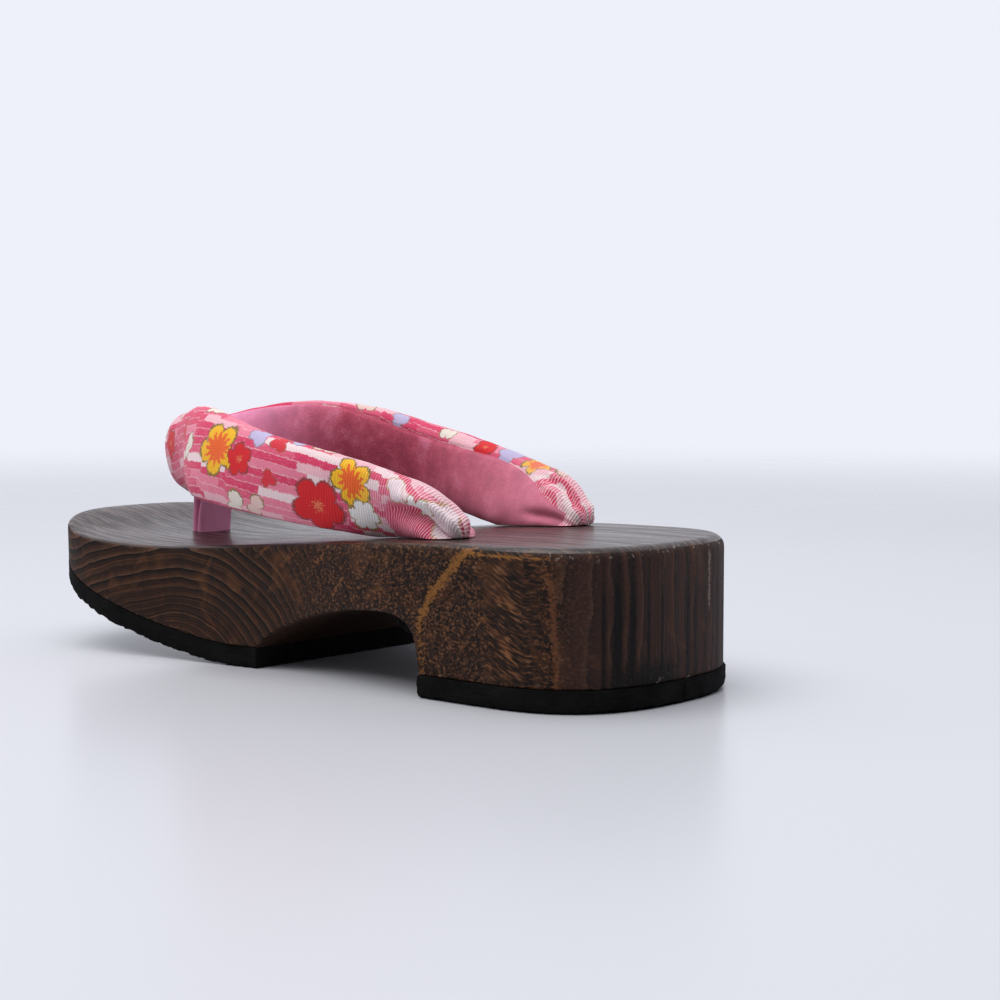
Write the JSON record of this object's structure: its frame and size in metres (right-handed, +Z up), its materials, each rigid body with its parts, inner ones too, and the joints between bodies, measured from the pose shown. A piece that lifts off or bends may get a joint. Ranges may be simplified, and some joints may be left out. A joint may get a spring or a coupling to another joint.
{
  "type": "geta sandal",
  "caption": "Arched wooden geta sandal with a rounded heel block, toe spring, foam rubber soles and a padded V strap held by a toe post.",
  "frame": {"origin": "on the ground, under the middle of the bounding box", "axes": "+Y towards the toe, +X towards the wearer's right, +Z up"},
  "size_m": [0.0936, 0.2362, 0.0797],
  "materials": {
    "wood": "dark scorched and lacquered, satin, strong grain",
    "rubber": "black foam rubber, matt, cut edges",
    "crepe": "printed crepe over padding, plain velvet on the inside",
    "velvet": "short pile velvet",
    "cord": "black cotton cord"
  },
  "bodies": {
    "root": {"wood_body": "wood", "heel_rubber": "rubber", "forefoot_rubber": "rubber", "strap": "crepe", "toe_post": "velvet", "rear_knot_left": "cord", "rear_knot_right": "cord", "toe_knot": "cord"}
  },
  "joints": []
}
